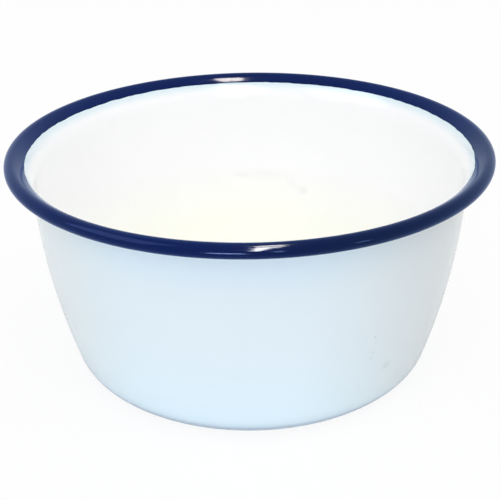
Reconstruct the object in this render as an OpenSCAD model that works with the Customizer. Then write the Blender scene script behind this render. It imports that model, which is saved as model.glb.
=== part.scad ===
// A round pudding basin: one enamelled steel sheet, pressed to a bowl, with its edge
// flared to a lip and rolled outward into an open bead. It stands on z = 0, round the Z axis.

/* [Basin] */
// Diameter over the rolled rim
rim_d = 160; // [130:1:190]
// Height from the surface it stands on to the top of the rim
height = 75; // [45:1:95]
// Diameter of the flat part of the base
base_d = 112; // [80:1:126]
// Thickness of the enamelled sheet
sheet_t = 1; // [0.6:0.05:1.5]

/* [Wall] */
// Outside radius of the corner between base and wall
corner_r = 7; // [3:0.5:14]
// Outside radius of the wall's gentle bulge, seen in section
bulge_r = 225; // [120:5:400]

/* [Rim] */
// Radius of the bend from wall to lip, on the inside of the basin
flare_r = 11; // [6:0.5:16]
// How far the lip leans out from upright where the bead begins, in degrees
lip_lean = 61; // [45:1:75]
// Diameter of the rolled bead
bead_d = 4.5; // [3.6:0.1:7]
// Gap that stays open between the rolled edge and the sheet beside it
roll_gap = 0.45; // [0.2:0.05:0.6]

/* [Trim] */
// How far below the top of the rim the dark trim reaches on the inside
trim_depth = 2.75; // [1:0.25:4.5]

/* [Hidden] */
// How far a flat between two points of a section may lie from the true arc
flat_error = 0.02;
// Steps round the axis
round_steps = 180;

// Bead: centre of its section, and the way from there to where the lip meets it
bead_r = bead_d / 2;
bead_c = [rim_d / 2 - bead_r, height - bead_r];
lip_dir = polar(1, 180 - lip_lean);

// Flare: its centre lies outside the wall, so that lip and bead share one tangent
flare_c = bead_c - (flare_r - bead_r) * lip_dir;
flare_under_r = flare_r - sheet_t;

// Corner: its centre stands over the edge of the flat base
corner_c = [base_d / 2, corner_r];

// Bulge: its centre, on the axis side, lies where the arc is tangent to corner and flare
corner_reach = bulge_r - corner_r;
flare_reach = bulge_r + flare_under_r;
span = flare_c - corner_c;
span_l = norm(span);
along = (corner_reach ^ 2 - flare_reach ^ 2 + span_l ^ 2) / (2 * span_l);
aside = sqrt(corner_reach ^ 2 - along ^ 2);
bulge_c = corner_c + (along * span + aside * [-span.y, span.x]) / span_l;

// Angles at which one stretch of the sheet passes into the next, from the +r direction
corner_end = heading(corner_c - bulge_c);
bulge_end = heading(flare_c - bulge_c);
trim_lean = asin((height - trim_depth - flare_c.y) / flare_r);

// Roll: its round edge stays clear of the sheet under the lip by roll_gap
roll_mid_r = bead_r - sheet_t / 2;
edge_to_flare = flare_under_r - sheet_t / 2 - roll_gap;
flare_to_bead = flare_r - bead_r;
roll_open = acos((edge_to_flare ^ 2 - flare_to_bead ^ 2 - roll_mid_r ^ 2)
    / (2 * flare_to_bead * roll_mid_r));
roll_end = 180 - lip_lean - (360 - roll_open);

// Stretches of the sheet from base to edge: centre, radius of the inside face, first and
// last angle. Where the angle falls, the centre lies outside the basin. The dark trim
// covers the lip and the roll.
corner = [corner_c, corner_r - sheet_t, -90, corner_end];
bulge = [bulge_c, bulge_r - sheet_t, corner_end, bulge_end];
flare = [flare_c, flare_r, 180 + bulge_end, 180 - trim_lean];
lip = [flare_c, flare_r, 180 - trim_lean, 180 - lip_lean];
roll = [bead_c, bead_r, 180 - lip_lean, roll_end];

function heading(v) = atan2(v.y, v.x);
function polar(r, a) = r * [cos(a), sin(a)];
function reverse(v) = [for (i = [len(v) - 1 : -1 : 0]) v[i]];

// Points of an arc, without its last one
function arc(c, r, from, to) =
    let (steps = ceil(abs(to - from) / (2 * acos(1 - flat_error / r))))
    [for (i = [0 : steps - 1]) c + polar(r, from + (to - from) * i / steps)];

// The two faces of a stretch, each without its last point, which the next stretch starts with
function inside(s) = arc(s[0], s[1], s[2], s[3]);
function outside(s) = arc(s[0], s[1] + sheet_t * sign(s[3] - s[2]), s[2], s[3]);

// The whole sheet, from the axis to the round edge of its roll
module sheet_section() {
    stretches = [corner, bulge, flare, lip, roll];
    edge_c = bead_c + polar(roll_mid_r, roll_end);
    edge = arc(edge_c, sheet_t / 2, roll_end, roll_end - 180);
    edge_last = edge_c - polar(sheet_t / 2, roll_end);
    top = concat([[0, sheet_t]], [for (s = stretches) each inside(s)], edge);
    under = concat([[0, 0]], [for (s = stretches) each outside(s)], [edge_last]);
    polygon(concat(top, reverse(under)));
}

module basin() {
    color("aliceblue") rotate_extrude($fn = round_steps) sheet_section();
}

basin();
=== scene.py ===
import math

import bpy
from mathutils import Matrix, Vector, noise


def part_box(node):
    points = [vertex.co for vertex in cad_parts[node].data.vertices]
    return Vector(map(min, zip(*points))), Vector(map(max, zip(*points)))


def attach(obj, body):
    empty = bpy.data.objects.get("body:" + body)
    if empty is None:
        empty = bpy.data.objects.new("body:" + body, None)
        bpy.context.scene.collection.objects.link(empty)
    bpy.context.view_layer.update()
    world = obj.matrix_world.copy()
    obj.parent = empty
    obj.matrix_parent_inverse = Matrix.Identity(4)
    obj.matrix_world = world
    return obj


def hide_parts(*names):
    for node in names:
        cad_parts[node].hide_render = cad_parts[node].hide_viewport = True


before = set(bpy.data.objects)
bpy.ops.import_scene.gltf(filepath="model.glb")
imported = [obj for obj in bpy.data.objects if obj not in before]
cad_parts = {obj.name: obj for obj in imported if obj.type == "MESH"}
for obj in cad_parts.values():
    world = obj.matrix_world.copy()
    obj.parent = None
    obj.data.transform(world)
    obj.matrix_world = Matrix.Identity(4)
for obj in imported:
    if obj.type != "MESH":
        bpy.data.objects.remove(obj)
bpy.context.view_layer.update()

MM = 0.001

# Sizes of the section, in millimetres, as the part's source has them
BASE_R = 56.0
SHEET_T = 1.0
CORNER_R = 7.0
BULGE_R = 225.0
FLARE_R = 11.0
LIP_LEAN = 61.0
BEAD_R = 2.25
ROLL_GAP = 0.45
TRIM_DEPTH = 2.75

# Steps round the axis, and along each stretch of the section
ROUND_STEPS = 480
BASE_STEPS = 5
CORNER_STEPS = 10
BULGE_STEPS = 12
FLARE_STEPS = 10
LIP_STEPS = 6
ROLL_STEPS = 28
EDGE_STEPS = 5

# Points of one face before the trim starts
PLAIN_POINTS = BASE_STEPS + CORNER_STEPS + BULGE_STEPS + FLARE_STEPS

# Material slots of the basin's mesh
INSIDE, OUTSIDE, TRIM = 0, 1, 2

# The edge of the trim wanders by less than this many degrees of the flare's arc. Each of its waves
# is a circle through a noise: the circle's radius, what is added to the seed, and the wave's share
TRIM_WANDER = 1.3
WANDER_WAVES = ((2.0, 0.0, 0.4), (9.0, 7.0, 0.5), (26.0, 13.0, 0.7))
INSIDE_SEED = 3.0
OUTSIDE_SEED = 31.0

# Colours are 0-255 sRGB, and a span is where a tint starts and where it is full.
# Each enamel starts as two close tones that mingle in clouds, with this many waves a metre
CLOUD_SCALE = 28.0
CLOUD_DETAIL = 3.0

# Inside. The span of the painted warm light is in shares of the height, the one of the painted
# shade on the base in metres over the floor, and the halo's in metres over the trim's edge
INSIDE_TONES = ((252, 252, 254), (249, 250, 252))
INSIDE_ROUGHNESS = 0.12
# Painted warm light: a cream cast over the lower inside
PAINTED_WARM_LIGHT = (251, 251, 243)
WARM_LIGHT_SPAN = (0.55, 0.18)
# Painted shade on the base: a darker cream that tones it down under the reflected panels' glare
BASE_PAINTED_SHADE = (246, 246, 236)
BASE_SHADE_SPAN = (0.005, 0.0012)
# Painted reflection: a pale blue halo just below the trim, as of the blue trim and cool light
# mirrored in the flare
HALO_PAINTED_REFLECTION = (214, 233, 241)
HALO_SPAN = (-0.0035, 0.0005)
INSIDE_MARK_GREY = (238, 239, 239)

# Outside. The spans of foot and rim are in shares of the height, and those of the sides in metres
# Painted cool light: the outside's tones are the white enamel tinted blue, as a cool light tints it
OUTSIDE_TONES = ((227, 240, 249), (222, 237, 247))
OUTSIDE_ROUGHNESS = 0.14
# Painted bounce light: lighter and bluer towards the foot, as the floor's bounce lights it
FOOT_PAINTED_LIGHT = (225, 245, 255)
FOOT_SPAN = (0.55, 0.05)
# Painted light: lighter and bluer just under the rim, lifting the shade under the rim
RIM_PAINTED_LIGHT = (218, 240, 255)
RIM_SPAN = (0.7, 0.93)
# Painted shade: greyer and darker at the two sides, more so at the right
LEFT_PAINTED_SHADE = (222, 232, 235)
LEFT_SPAN = (-0.03, -0.07)
RIGHT_PAINTED_SHADE = (212, 219, 221)
RIGHT_SPAN = (0.01, 0.066)
FLECK_GREY = (206, 216, 220)
SPECK_GREY = (192, 207, 212)
# Painted shade on the foot's bend, where the basin meets the floor
FOOT_BEND_PAINTED_SHADE = (186, 204, 219)

# Trim. Its painted shade at the near right has spans in metres to the right and to the front
TRIM_TONES = ((4, 26, 84), (2, 19, 70))
TRIM_ROUGHNESS = 0.09
# Painted shade: a darker navy at the near right, where darker surroundings show in the glaze
TRIM_PAINTED_SHADE = (6, 22, 62)
TRIM_SHADE_SPAN = (-0.02, 0.04)
NEAR_SPAN = (0.03, -0.02)
BLOOM_WEIGHT = 0.3
BLOOM_ROUGHNESS = 0.5
BLOOM_TINT = (0.1, 0.35, 1.0, 1.0)

# Specular level. The trim's is low, so that it stays dark between its highlights
WHITE_LEVEL = 0.5
TRIM_LEVEL = 0.07

# Relief of the glaze, in waves a metre and metres of depth: its orange peel, and the slow waves of
# the thick trim
RELIEF_DETAIL = 1.0
PEEL_SCALE = 420.0
PEEL_DEPTH = 0.00001
WAVE_SCALE = 90.0
WAVE_DEPTH = 0.0001

# Painted shade on the foot's bend, where it meets the floor: the height it reaches, in millimetres,
# and its strength at shares of it
FOOT_BEND_SHADE_TOP = 8.0
FOOT_BEND_SHADE_LEVELS = ((0.0, 0.1), (0.19, 1.0), (0.45, 1.0), (0.575, 0.45), (0.75, 0.12), (1.0, 0.0))

# Flecks strewn in the outside enamel: how close their cells lie, their radius in cells, the share
# of it that is at full strength, and how many cells have one
FLECK_CELLS = 110.0
FLECK_SIZE = 0.07
FLECK_CORE = 0.3
FLECK_SHARE = 0.07

# Marks on the wall: azimuth in degrees (0 in front, to the right), height, half width and half
# height in millimetres, tilt in degrees, and strength. They fade from core to edge, in shares of
# that size
SPECKS = (
    (31.8, 34.0, 0.6, 0.7, 0, 0.7),
    (32.5, 31.5, 0.5, 0.6, 0, 0.3),
    (32.2, 27.8, 0.6, 0.6, 0, 0.55),
    (31.8, 25.8, 0.6, 0.6, 0, 0.75),
    (38.5, 19.5, 2.5, 2.2, 0, 0.45),
)
INSIDE_MARKS = (
    (176.0, 34.6, 16.0, 3.2, 0, 0.25),
    (182.5, 34.6, 5.0, 2.0, -6, 0.4),
    (165.0, 31.6, 7.0, 2.2, -35, 0.25),
    (161.0, 29.0, 2.8, 2.6, 0, 0.6),
)
MARK_EDGE = 1.0
MARK_CORE = 0.2

# Light from the surroundings as the lit faces get it, and as a straight or mirrored look sees it
AMBIENT = 0.878
SEEN_AMBIENT = 1.0

# The floor: half its width, and the gap that keeps it from mingling with the base, in metres;
# its own shade, and the share of it that shines for the camera and in reflections
FLOOR_REACH = 6.0
FLOOR_GAP = 0.0001
FLOOR_SHADE = 0.9
FLOOR_GLOW = 0.89
MIRRORED_GLOW = 0.05

# Softboxes, which light the scene and aren't seen in reflections: azimuth and elevation in degrees
# as seen from the middle of the mouth, distance in metres, and watts
SOFTBOX_SIZE = (0.9, 0.9)
SOFTBOXES = (
    ("top_softbox", 0, 78, 1.2, 1.4),
    ("front_fill", -20, 30, 1.4, 2.1),
    ("side_fill", 80, 60, 1.2, 1.1),
)

# Level panels, seen in reflections only: two corners in metres, height over the rim, radiance, tint
NO_TINT = (1.0, 1.0, 1.0)
LEVEL_PANELS = (
    ("ceiling", (0.022, -0.25), (0.144, 0.05), 1.0, 140.0, (1.0, 0.94, 0.86)),
    ("strip", (0.007, -0.73), (0.040, -0.17), 0.25, 195.0, NO_TINT),
    ("strip_end", (0.040, -0.24), (0.052, -0.13), 0.25, 125.0, NO_TINT),
)

# Panels that face the front of the rim, seen in reflections only: azimuth and elevation as seen
# from there, distance and size in metres, radiance, tint
FACING_PANELS = (
    ("low_window", -12, -12, 0.25, (0.08, 0.05), 95.0, (0.36, 0.5, 1.0)),
    ("low_card", 12, 6, 0.5, (0.035, 0.08), 70.0, (0.35, 0.58, 1.0)),
    ("side_card", 51, -2, 0.5, (0.05, 0.03), 100.0, (0.25, 0.5, 1.0)),
    ("left_card", -69, 34, 1.0, (0.75, 0.75), 8.5, (0.3, 0.42, 1.0)),
)

# The photograph's frame and the camera fitted to it: pixels, metres and degrees
PHOTO_PX = 500
FOCAL_PX = 956.9
RIM_CENTRE_PX = (249.20, 139.40)
CAMERA_DISTANCE = 0.320
CAMERA_ELEVATION = 20.166
CAMERA_ROLL = 0.824
CAMERA_NEAR = 0.01
SENSOR_MM = 36.0


def polar(radius, angle):
    a = math.radians(angle)
    return Vector((radius * math.cos(a), radius * math.sin(a)))


def heading(v):
    return math.degrees(math.atan2(v.y, v.x))


def arc(centre, radius, first, last, steps):
    """Points of an arc of the section, without its first one."""
    angles = [first + (last - first) * i / steps for i in range(1, steps + 1)]
    return [centre + polar(radius, a) for a in angles]


def wander(angle, seed):
    """A smooth value, less than 1 either way, that closes on itself round the axis."""
    c, s = math.cos(angle), math.sin(angle)
    return sum(
        share * noise.noise(Vector((radius * c, radius * s, seed + shift)))
        for radius, shift, share in WANDER_WAVES
    )


class Section:
    """The sheet's section: a flat base, and arcs that each carry on from the one before."""

    def __init__(self, rim_r, height):
        self.height = height
        self.bead_c = Vector((rim_r - BEAD_R, height - BEAD_R))
        self.flare_c = self.bead_c - (FLARE_R - BEAD_R) * polar(1, 180 - LIP_LEAN)
        self.corner_c = Vector((BASE_R, CORNER_R))
        under_r = FLARE_R - SHEET_T
        corner_reach = BULGE_R - CORNER_R
        flare_reach = BULGE_R + under_r
        span = self.flare_c - self.corner_c
        along = (corner_reach ** 2 - flare_reach ** 2 + span.length ** 2) / (2 * span.length)
        aside = math.sqrt(corner_reach ** 2 - along ** 2)
        across = Vector((-span.y, span.x))
        self.bulge_c = self.corner_c + (along * span + aside * across) / span.length
        self.corner_end = heading(self.corner_c - self.bulge_c)
        self.bulge_end = heading(self.flare_c - self.bulge_c)
        trim_rise = height - TRIM_DEPTH - self.flare_c.y
        self.trim_lean = math.degrees(math.asin(trim_rise / FLARE_R))
        self.roll_mid_r = BEAD_R - SHEET_T / 2
        edge_reach = under_r - SHEET_T / 2 - ROLL_GAP
        bead_reach = FLARE_R - BEAD_R
        opening = edge_reach ** 2 - bead_reach ** 2 - self.roll_mid_r ** 2
        opening /= 2 * bead_reach * self.roll_mid_r
        self.roll_end = 180 - LIP_LEAN - (360 - math.degrees(math.acos(opening)))

    def face(self, inner, trim_shift):
        """One face of the sheet, from base to edge."""
        t = 0 if inner else SHEET_T
        z = SHEET_T if inner else 0
        bulge_r = BULGE_R - SHEET_T + t
        trim = 180 - self.trim_lean + trim_shift
        lip_end = 180 - LIP_LEAN
        points = [Vector((BASE_R * i / BASE_STEPS, z)) for i in range(1, BASE_STEPS + 1)]
        points += arc(self.corner_c, CORNER_R - SHEET_T + t, -90, self.corner_end, CORNER_STEPS)
        points += arc(self.bulge_c, bulge_r, self.corner_end, self.bulge_end, BULGE_STEPS)
        points += arc(self.flare_c, FLARE_R - t, 180 + self.bulge_end, trim, FLARE_STEPS)
        points += arc(self.flare_c, FLARE_R - t, trim, lip_end, LIP_STEPS)
        points += arc(self.bead_c, BEAD_R - t, lip_end, self.roll_end, ROLL_STEPS)
        return points

    def edge(self):
        """The sheet's round edge inside the roll, without its two end points."""
        centre = self.bead_c + polar(self.roll_mid_r, self.roll_end)
        points = arc(centre, SHEET_T / 2, self.roll_end, self.roll_end - 180, EDGE_STEPS)
        return points[:-1]

    def outline(self, angle):
        """The whole section at an angle round the axis, from the base's top to its underside."""
        top = self.face(True, TRIM_WANDER * wander(angle, INSIDE_SEED))
        under = self.face(False, TRIM_WANDER * wander(angle, OUTSIDE_SEED))
        return top + self.edge() + under[::-1]

    def wall_place(self, azimuth, z, inner):
        """A point on a face of the bulging wall, in metres."""
        reach = BULGE_R - (SHEET_T if inner else 0)
        r = self.bulge_c.x + math.sqrt(reach ** 2 - (z - self.bulge_c.y) ** 2)
        a = math.radians(azimuth)
        return Vector((r * math.sin(a), -r * math.cos(a), z)) * MM


def basin_points(section):
    """The two points on the axis, and then the section's outline at each step round it."""
    points = [(0, 0, SHEET_T * MM), (0, 0, 0)]
    for k in range(ROUND_STEPS):
        angle = 2 * math.pi * k / ROUND_STEPS
        x, y = math.cos(angle) * MM, math.sin(angle) * MM
        points += [(p.x * x, p.x * y, p.y * MM) for p in section.outline(angle)]
    return points


def basin_faces(per_step):
    """The faces between each step and the next, in the order of the section's outline."""
    def at(k, i):
        return 2 + (k % ROUND_STEPS) * per_step + i

    faces = []
    for k in range(ROUND_STEPS):
        faces.append((0, at(k, 0), at(k + 1, 0)))
        for i in range(per_step - 1):
            faces.append((at(k, i), at(k, i + 1), at(k + 1, i + 1), at(k + 1, i)))
        faces.append((1, at(k + 1, per_step - 1), at(k, per_step - 1)))
    return faces


def make_basin(section):
    """The finer mesh that replaces the basin, with an enamel for each part of the sheet."""
    points = basin_points(section)
    per_step = (len(points) - 2) // ROUND_STEPS
    trim_faces = per_step + 1 - 2 * PLAIN_POINTS
    step_slots = [INSIDE] * PLAIN_POINTS + [TRIM] * trim_faces + [OUTSIDE] * PLAIN_POINTS
    mesh = bpy.data.meshes.new("basin_enamel")
    mesh.from_pydata(points, [], basin_faces(per_step))
    mesh.validate()
    mesh.shade_smooth()
    mesh.materials.append(enamel_inside(section))
    mesh.materials.append(enamel_outside(section))
    mesh.materials.append(enamel_trim())
    mesh.polygons.foreach_set("material_index", step_slots * ROUND_STEPS)
    mesh.update()
    obj = bpy.data.objects.new("basin_enamel", mesh)
    bpy.context.collection.objects.link(obj)
    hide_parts("basin")
    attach(obj, "root")


def linear(colour):
    """Turns a 0-255 sRGB colour into the linear values that a socket takes."""
    def one(v):
        v /= 255
        return v / 12.92 if v <= 0.04045 else ((v + 0.055) / 1.055) ** 2.4
    return (one(colour[0]), one(colour[1]), one(colour[2]), 1.0)


def feed(tree, socket, value):
    """Links another node's socket to this one, or sets this one to a value."""
    if isinstance(value, bpy.types.NodeSocket):
        tree.links.new(value, socket)
    else:
        socket.default_value = value


def calculate(tree, operation, first, second):
    """What a Math node makes of two values, each a number or a socket."""
    node = tree.nodes.new("ShaderNodeMath")
    node.operation = operation
    feed(tree, node.inputs[0], first)
    feed(tree, node.inputs[1], second)
    return node.outputs["Value"]


def strongest(tree, factors):
    """The largest of several factors."""
    most = factors[0]
    for factor in factors[1:]:
        most = calculate(tree, "MAXIMUM", most, factor)
    return most


def fade(tree, value, start, end, low=0.0, high=1.0, smooth=True):
    """Goes from low to high while the value goes from start to end, and stays level beyond them."""
    node = tree.nodes.new("ShaderNodeMapRange")
    node.interpolation_type = "SMOOTHSTEP" if smooth else "LINEAR"
    feed(tree, node.inputs["From Min"], start)
    feed(tree, node.inputs["From Max"], end)
    feed(tree, node.inputs["To Min"], low)
    feed(tree, node.inputs["To Max"], high)
    feed(tree, node.inputs["Value"], value)
    return node.outputs["Result"]


def new_material(name):
    """A material, its node tree and its main shader."""
    mat = bpy.data.materials.new(name)
    mat.use_nodes = True
    shader = next(n for n in mat.node_tree.nodes if n.type == "BSDF_PRINCIPLED")
    return mat, mat.node_tree, shader


class Enamel:
    """Glossy vitreous enamel, with slow changes of tone and a faint orange peel from firing."""

    def __init__(self, name, tones, roughness, level):
        self.mat, self.tree, self.shader = new_material(name)
        self.place = self.tree.nodes.new("ShaderNodeTexCoord").outputs["Object"]
        self.split = self.tree.nodes.new("ShaderNodeSeparateXYZ")
        feed(self.tree, self.split.inputs["Vector"], self.place)
        cloud = self.waves(CLOUD_SCALE, CLOUD_DETAIL)
        self.tone = self.mix(cloud, linear(tones[0]), linear(tones[1]))
        self.normal = self.relief(PEEL_SCALE, PEEL_DEPTH)
        self.shader.inputs["Roughness"].default_value = roughness
        self.shader.inputs["Specular IOR Level"].default_value = level

    def waves(self, scale, detail):
        """A smooth noise through the object, with its scale in waves a metre."""
        node = self.tree.nodes.new("ShaderNodeTexNoise")
        node.inputs["Scale"].default_value = scale
        node.inputs["Detail"].default_value = detail
        feed(self.tree, node.inputs["Vector"], self.place)
        return node.outputs["Fac"]

    def relief(self, scale, depth, under=None):
        """Bump from a smooth noise, laid over the bump under it if there is one."""
        bump = self.tree.nodes.new("ShaderNodeBump")
        bump.inputs["Strength"].default_value = 1.0
        bump.inputs["Distance"].default_value = depth
        feed(self.tree, bump.inputs["Height"], self.waves(scale, RELIEF_DETAIL))
        if under:
            feed(self.tree, bump.inputs["Normal"], under)
        return bump.outputs["Normal"]

    def mix(self, factor, first, second):
        """The first colour where the factor is 0 and the second where it is 1."""
        node = self.tree.nodes.new("ShaderNodeMix")
        node.data_type = "RGBA"
        feed(self.tree, node.inputs["Factor"], factor)
        feed(self.tree, node.inputs["A"], first)
        feed(self.tree, node.inputs["B"], second)
        return node.outputs["Result"]

    def tint(self, factor, colour):
        """Lays a colour over the tone."""
        self.tone = self.mix(factor, self.tone, linear(colour))

    def along(self, axis, span, unit=1.0, origin=0.0):
        """Rises smoothly from 0 to 1 over a span of an axis, in units from the origin."""
        start = origin + unit * span[0]
        end = origin + unit * span[1]
        return fade(self.tree, self.split.outputs[axis], start, end)

    def complete(self):
        """Gives tone and normal to the shader, and returns the material."""
        feed(self.tree, self.shader.inputs["Base Color"], self.tone)
        feed(self.tree, self.shader.inputs["Normal"], self.normal)
        return self.mat


def foot_bend_shade_factor(glaze):
    """Is strongest on the bend between wall and base: painted shade where it meets the floor."""
    rise = fade(glaze.tree, glaze.split.outputs["Z"], 0.0, FOOT_BEND_SHADE_TOP * MM, smooth=False)
    ramp = glaze.tree.nodes.new("ShaderNodeValToRGB")
    stops = ramp.color_ramp.elements
    first, *between, last = FOOT_BEND_SHADE_LEVELS
    stops[0].color = (first[1], first[1], first[1], 1)
    stops[1].color = (last[1], last[1], last[1], 1)
    for position, level in between:
        stops.new(position).color = (level, level, level, 1)
    feed(glaze.tree, ramp.inputs["Fac"], rise)
    return ramp.outputs["Color"]


def fleck_factor(glaze):
    """Is above 0 in a few round flecks, each about a millimetre across."""
    tree = glaze.tree
    cells = tree.nodes.new("ShaderNodeTexVoronoi")
    cells.inputs["Scale"].default_value = FLECK_CELLS
    feed(tree, cells.inputs["Vector"], glaze.place)
    core = FLECK_CORE * FLECK_SIZE
    dot = fade(tree, cells.outputs["Distance"], FLECK_SIZE, core, smooth=False)
    pick = tree.nodes.new("ShaderNodeSeparateColor")
    feed(tree, pick.inputs["Color"], cells.outputs["Color"])
    few = calculate(tree, "GREATER_THAN", pick.outputs["Red"], 1 - FLECK_SHARE)
    return calculate(tree, "MULTIPLY", dot, few)


def mark_factor(glaze, section, marks, inner):
    """Is above 0 in a few soft oval marks on one face of the wall."""
    tree = glaze.tree
    factors = []
    for azimuth, z, wide, tall, tilt, strength in marks:
        local = tree.nodes.new("ShaderNodeMapping")
        local.vector_type = "TEXTURE"
        local.inputs["Location"].default_value = section.wall_place(azimuth, z, inner)
        local.inputs["Rotation"].default_value = (0, math.radians(tilt), math.radians(azimuth))
        local.inputs["Scale"].default_value = (wide * MM, wide * MM, tall * MM)
        feed(tree, local.inputs["Vector"], glaze.place)
        reach = tree.nodes.new("ShaderNodeVectorMath")
        reach.operation = "LENGTH"
        feed(tree, reach.inputs[0], local.outputs["Vector"])
        factors.append(fade(tree, reach.outputs["Value"], MARK_EDGE, MARK_CORE, high=strength))
    return strongest(tree, factors)


def enamel_inside(section):
    """White. Painted warm light low, shade on the base and blue halo under the trim; grey marks."""
    glaze = Enamel("enamel_inside", INSIDE_TONES, INSIDE_ROUGHNESS, WHITE_LEVEL)
    trim_z = (section.height - TRIM_DEPTH) * MM
    # Painted warm light low down
    glaze.tint(glaze.along("Z", WARM_LIGHT_SPAN, unit=section.height * MM), PAINTED_WARM_LIGHT)
    # Painted shade: the base darker and creamier
    glaze.tint(glaze.along("Z", BASE_SHADE_SPAN), BASE_PAINTED_SHADE)
    # Painted reflection: pale blue halo just below the trim
    glaze.tint(glaze.along("Z", HALO_SPAN, origin=trim_z), HALO_PAINTED_REFLECTION)
    glaze.tint(mark_factor(glaze, section, INSIDE_MARKS, True), INSIDE_MARK_GREY)
    return glaze.complete()


def enamel_outside(section):
    """Painted cool light on white, bluer at foot and rim, painted shade at two sides; grey specks.
    """
    glaze = Enamel("enamel_outside", OUTSIDE_TONES, OUTSIDE_ROUGHNESS, WHITE_LEVEL)
    height = section.height * MM
    # Painted bounce light towards the foot
    glaze.tint(glaze.along("Z", FOOT_SPAN, unit=height), FOOT_PAINTED_LIGHT)
    # Painted light just under the rim
    glaze.tint(glaze.along("Z", RIM_SPAN, unit=height), RIM_PAINTED_LIGHT)
    # Painted shade at the two sides
    glaze.tint(glaze.along("X", LEFT_SPAN), LEFT_PAINTED_SHADE)
    glaze.tint(glaze.along("X", RIGHT_SPAN), RIGHT_PAINTED_SHADE)
    glaze.tint(fleck_factor(glaze), FLECK_GREY)
    glaze.tint(mark_factor(glaze, section, SPECKS, False), SPECK_GREY)
    # Painted shade on the foot's bend
    glaze.tint(foot_bend_shade_factor(glaze), FOOT_BEND_PAINTED_SHADE)
    return glaze.complete()


def enamel_trim():
    """Dark navy, with painted shade at the near right, and a blue bloom at its limbs."""
    glaze = Enamel("enamel_trim", TRIM_TONES, TRIM_ROUGHNESS, TRIM_LEVEL)
    # Painted shade: a darker navy at the near right of the trim
    near_right_shade = glaze.mix(glaze.along("X", TRIM_SHADE_SPAN), glaze.tone, linear(TRIM_PAINTED_SHADE))
    glaze.tone = glaze.mix(glaze.along("Y", NEAR_SPAN), glaze.tone, near_right_shade)
    glaze.normal = glaze.relief(WAVE_SCALE, WAVE_DEPTH, under=glaze.normal)
    glaze.shader.inputs["Sheen Weight"].default_value = BLOOM_WEIGHT
    glaze.shader.inputs["Sheen Roughness"].default_value = BLOOM_ROUGHNESS
    glaze.shader.inputs["Sheen Tint"].default_value = BLOOM_TINT
    return glaze.complete()


def seen_share(tree, straight, mirrored):
    """One share for a look straight or through glass, one for a reflection, and 0 for the rest."""
    path = tree.nodes.new("ShaderNodeLightPath")
    shares = (
        ("Is Camera Ray", straight),
        ("Is Transmission Ray", straight),
        ("Is Glossy Ray", mirrored),
    )
    parts = [calculate(tree, "MULTIPLY", path.outputs[name], share) for name, share in shares]
    return strongest(tree, parts)


def make_floor():
    """A white floor that shines for the camera, so that its shadows stay faint."""
    s, z = FLOOR_REACH, -FLOOR_GAP
    mesh = bpy.data.meshes.new("floor")
    mesh.from_pydata([(-s, -s, z), (s, -s, z), (s, s, z), (-s, s, z)], [], [(0, 1, 2, 3)])
    mat, tree, shader = new_material("floor_white")
    shader.inputs["Base Color"].default_value = (FLOOR_SHADE, FLOOR_SHADE, FLOOR_SHADE, 1)
    shader.inputs["Roughness"].default_value = 1.0
    shader.inputs["Specular IOR Level"].default_value = 0.0
    glow = tree.nodes.new("ShaderNodeEmission")
    blend = tree.nodes.new("ShaderNodeMixShader")
    feed(tree, blend.inputs["Fac"], seen_share(tree, FLOOR_GLOW, MIRRORED_GLOW))
    feed(tree, blend.inputs[1], shader.outputs["BSDF"])
    feed(tree, blend.inputs[2], glow.outputs["Emission"])
    feed(tree, tree.nodes["Material Output"].inputs["Surface"], blend.outputs["Shader"])
    mesh.materials.append(mat)
    obj = bpy.data.objects.new("floor", mesh)
    bpy.context.collection.objects.link(obj)


def make_world():
    """White surroundings, which look brighter than the light they give."""
    world = bpy.data.worlds.new("studio")
    bpy.context.scene.world = world
    world.use_nodes = True
    tree = world.node_tree
    back = tree.nodes["Background"]
    seen = seen_share(tree, 1.0, 1.0)
    level = fade(tree, seen, 0.0, 1.0, AMBIENT, SEEN_AMBIENT, smooth=False)
    feed(tree, back.inputs["Strength"], level)
    back.inputs["Color"].default_value = (1, 1, 1, 1)


def new_lamp(name, size, power):
    """A rectangular lamp, which faces down until it is turned."""
    data = bpy.data.lights.new(name, "AREA")
    data.shape = "RECTANGLE"
    data.size, data.size_y = size
    data.energy = power
    obj = bpy.data.objects.new(name, data)
    bpy.context.collection.objects.link(obj)
    return obj


def turn_lamp(lamp, azimuth, elevation, distance, aim):
    """Sets a lamp to face the aim from this azimuth (0 in front, to the right) and elevation."""
    a, e = math.radians(azimuth), math.radians(elevation)
    way = Vector((math.sin(a) * math.cos(e), -math.cos(a) * math.cos(e), math.sin(e)))
    lamp.location = aim + distance * way
    lamp.rotation_mode = "QUATERNION"
    lamp.rotation_quaternion = (-way).to_track_quat("-Z", "Y")


def new_panel(name, size, radiance, tint):
    """A lamp that is seen in reflections only, and adds no diffuse light."""
    lamp = new_lamp(name, size, radiance * math.pi * size[0] * size[1])
    lamp.data.color = tint
    lamp.visible_diffuse = False
    lamp.visible_camera = False
    return lamp


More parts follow.
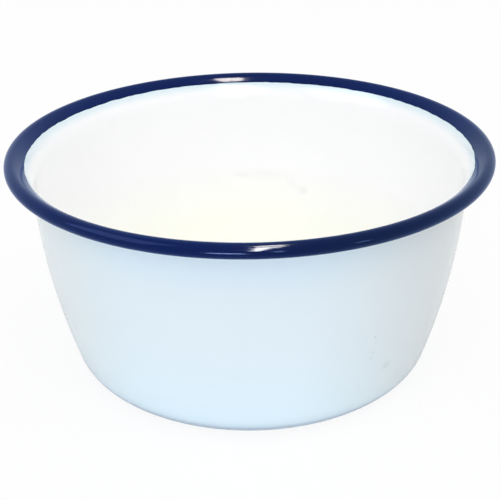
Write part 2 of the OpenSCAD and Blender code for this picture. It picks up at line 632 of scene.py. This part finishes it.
def make_lamps(rim_r, height):
    mouth = Vector((0, 0, height))
    rim_front = Vector((0, -rim_r, height))
    for name, azimuth, elevation, distance, power in SOFTBOXES:
        lamp = new_lamp(name, SOFTBOX_SIZE, power)
        turn_lamp(lamp, azimuth, elevation, distance, mouth)
        lamp.visible_glossy = False
    for name, low, high, rise, radiance, tint in LEVEL_PANELS:
        size = (high[0] - low[0], high[1] - low[1])
        panel = new_panel(name, size, radiance, tint)
        panel.location = ((low[0] + high[0]) / 2, (low[1] + high[1]) / 2, height + rise)
    for name, azimuth, elevation, distance, size, radiance, tint in FACING_PANELS:
        panel = new_panel(name, size, radiance, tint)
        turn_lamp(panel, azimuth, elevation, distance, rim_front)


def make_camera(height):
    """The photograph's camera, which shows the middle of the mouth at RIM_CENTRE_PX."""
    data = bpy.data.cameras.new("camera")
    data.sensor_width = SENSOR_MM
    data.lens = FOCAL_PX / PHOTO_PX * SENSOR_MM
    data.clip_start = CAMERA_NEAR
    obj = bpy.data.objects.new("camera", data)
    bpy.context.collection.objects.link(obj)
    target = Vector((0, 0, height))
    e = math.radians(CAMERA_ELEVATION)
    place = target + CAMERA_DISTANCE * Vector((0, -math.cos(e), math.sin(e)))
    back = (place - target).normalized()
    right = Vector((1, 0, 0))
    look = Matrix((right, back.cross(right), back)).transposed()
    roll = Matrix.Rotation(math.radians(-CAMERA_ROLL), 3, "Z")
    half = PHOTO_PX / 2
    across = (RIM_CENTRE_PX[0] - half) / FOCAL_PX
    upward = (half - RIM_CENTRE_PX[1]) / FOCAL_PX
    swing = Vector((across, upward, -1)).rotation_difference(Vector((0, 0, -1))).to_matrix()
    obj.matrix_world = Matrix.Translation(place) @ (look @ roll @ swing).to_4x4()
    bpy.context.scene.camera = obj


low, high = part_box("basin")
rim_radius = min(high[0], -low[0], high[1], -low[1]) / MM
rim_height = high[2] / MM
bpy.context.scene.view_settings.view_transform = "Standard"
make_camera(rim_height * MM)
make_basin(Section(rim_radius, rim_height))
make_floor()
make_world()
make_lamps(rim_radius * MM, rim_height * MM)
